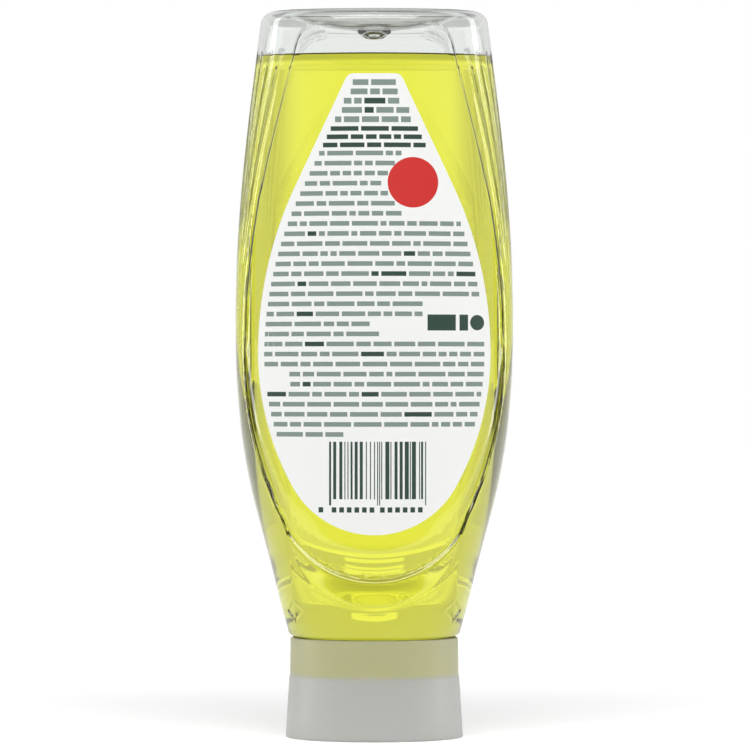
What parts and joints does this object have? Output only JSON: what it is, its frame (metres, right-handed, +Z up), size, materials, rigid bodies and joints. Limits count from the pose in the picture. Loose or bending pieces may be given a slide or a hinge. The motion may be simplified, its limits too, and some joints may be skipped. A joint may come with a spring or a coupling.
{
  "type": "dish soap bottle",
  "caption": "Squeeze bottle of dish soap that stands on its cap: clear oval body, frosted self-sealing closure below, drop-shaped label on each face.",
  "frame": {"origin": "middle of the cap's foot, on the surface that the bottle stands on", "axes": "+Z up along the bottle's axis, +X across the bottle's width, -Y out of the label with the small print"},
  "size_m": [0.0912, 0.0602, 0.238],
  "materials": {
    "clear_pet": "clear stretch-blow-moulded PET, glossy",
    "liquid_soap": "clear yellow-green liquid",
    "frosted_pp": "moulded natural polypropylene, fine frosted",
    "silicone": "moulded clear silicone, matt",
    "natural_pp": "moulded natural polypropylene",
    "foil_seal": "peel-off laminate film, satin",
    "label_film": "white pressure-sensitive film with dark green print",
    "clear_film": "clear pressure-sensitive film with printed fields of colour"
  },
  "bodies": {
    "root": {"bottle": "clear_pet", "dish_soap": "liquid_soap", "cap": "frosted_pp", "valve": "silicone", "valve_retainer": "natural_pp", "seal_film": "foil_seal", "back_label": "label_film", "front_label": "clear_film"}
  },
  "joints": []
}
